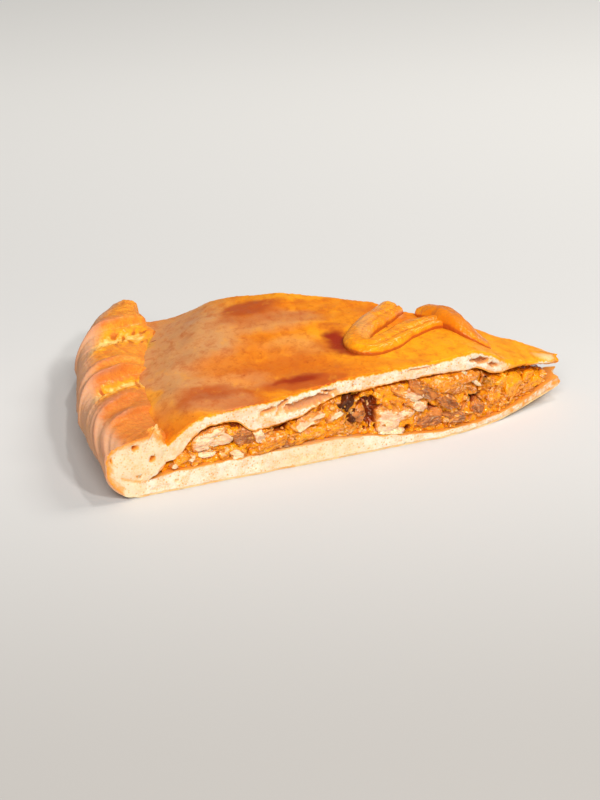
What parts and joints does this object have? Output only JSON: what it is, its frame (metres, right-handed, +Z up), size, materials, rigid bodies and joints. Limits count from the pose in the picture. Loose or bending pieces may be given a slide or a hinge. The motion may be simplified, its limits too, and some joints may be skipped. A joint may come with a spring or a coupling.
{
  "type": "meat pie slice",
  "caption": "Wedge of a round flat meat pie: pale base, chunky meat filling, glossy golden lid with dough strips, and a twisted rope edge.",
  "frame": {"origin": "centre of the slice's box, on the surface that it rests on", "axes": "+X from the roped rim to the point of the slice, +Z up out of the lid, the cut with the better view faces -Y"},
  "size_m": [0.1468, 0.1146, 0.0289],
  "materials": {
    "pale_crust": "dry pale bread crumb with a lightly browned underside",
    "meat_filling": "moist chunks of meat, onion and pepper in a glossy orange-brown sauce",
    "golden_crust": "smooth egg-washed golden crust with browned patches and a cream cut edge",
    "browned_crust": "satin browned dough, brighter on top of the folds",
    "glazed_dough": "glossy egg-washed dough"
  },
  "bodies": {
    "root": {"base_crust": "pale_crust", "filling": "meat_filling", "lid_crust": "golden_crust", "rope_rim": "browned_crust", "strip_hairpin": "glazed_dough", "strip_twist": "glazed_dough"}
  },
  "joints": []
}
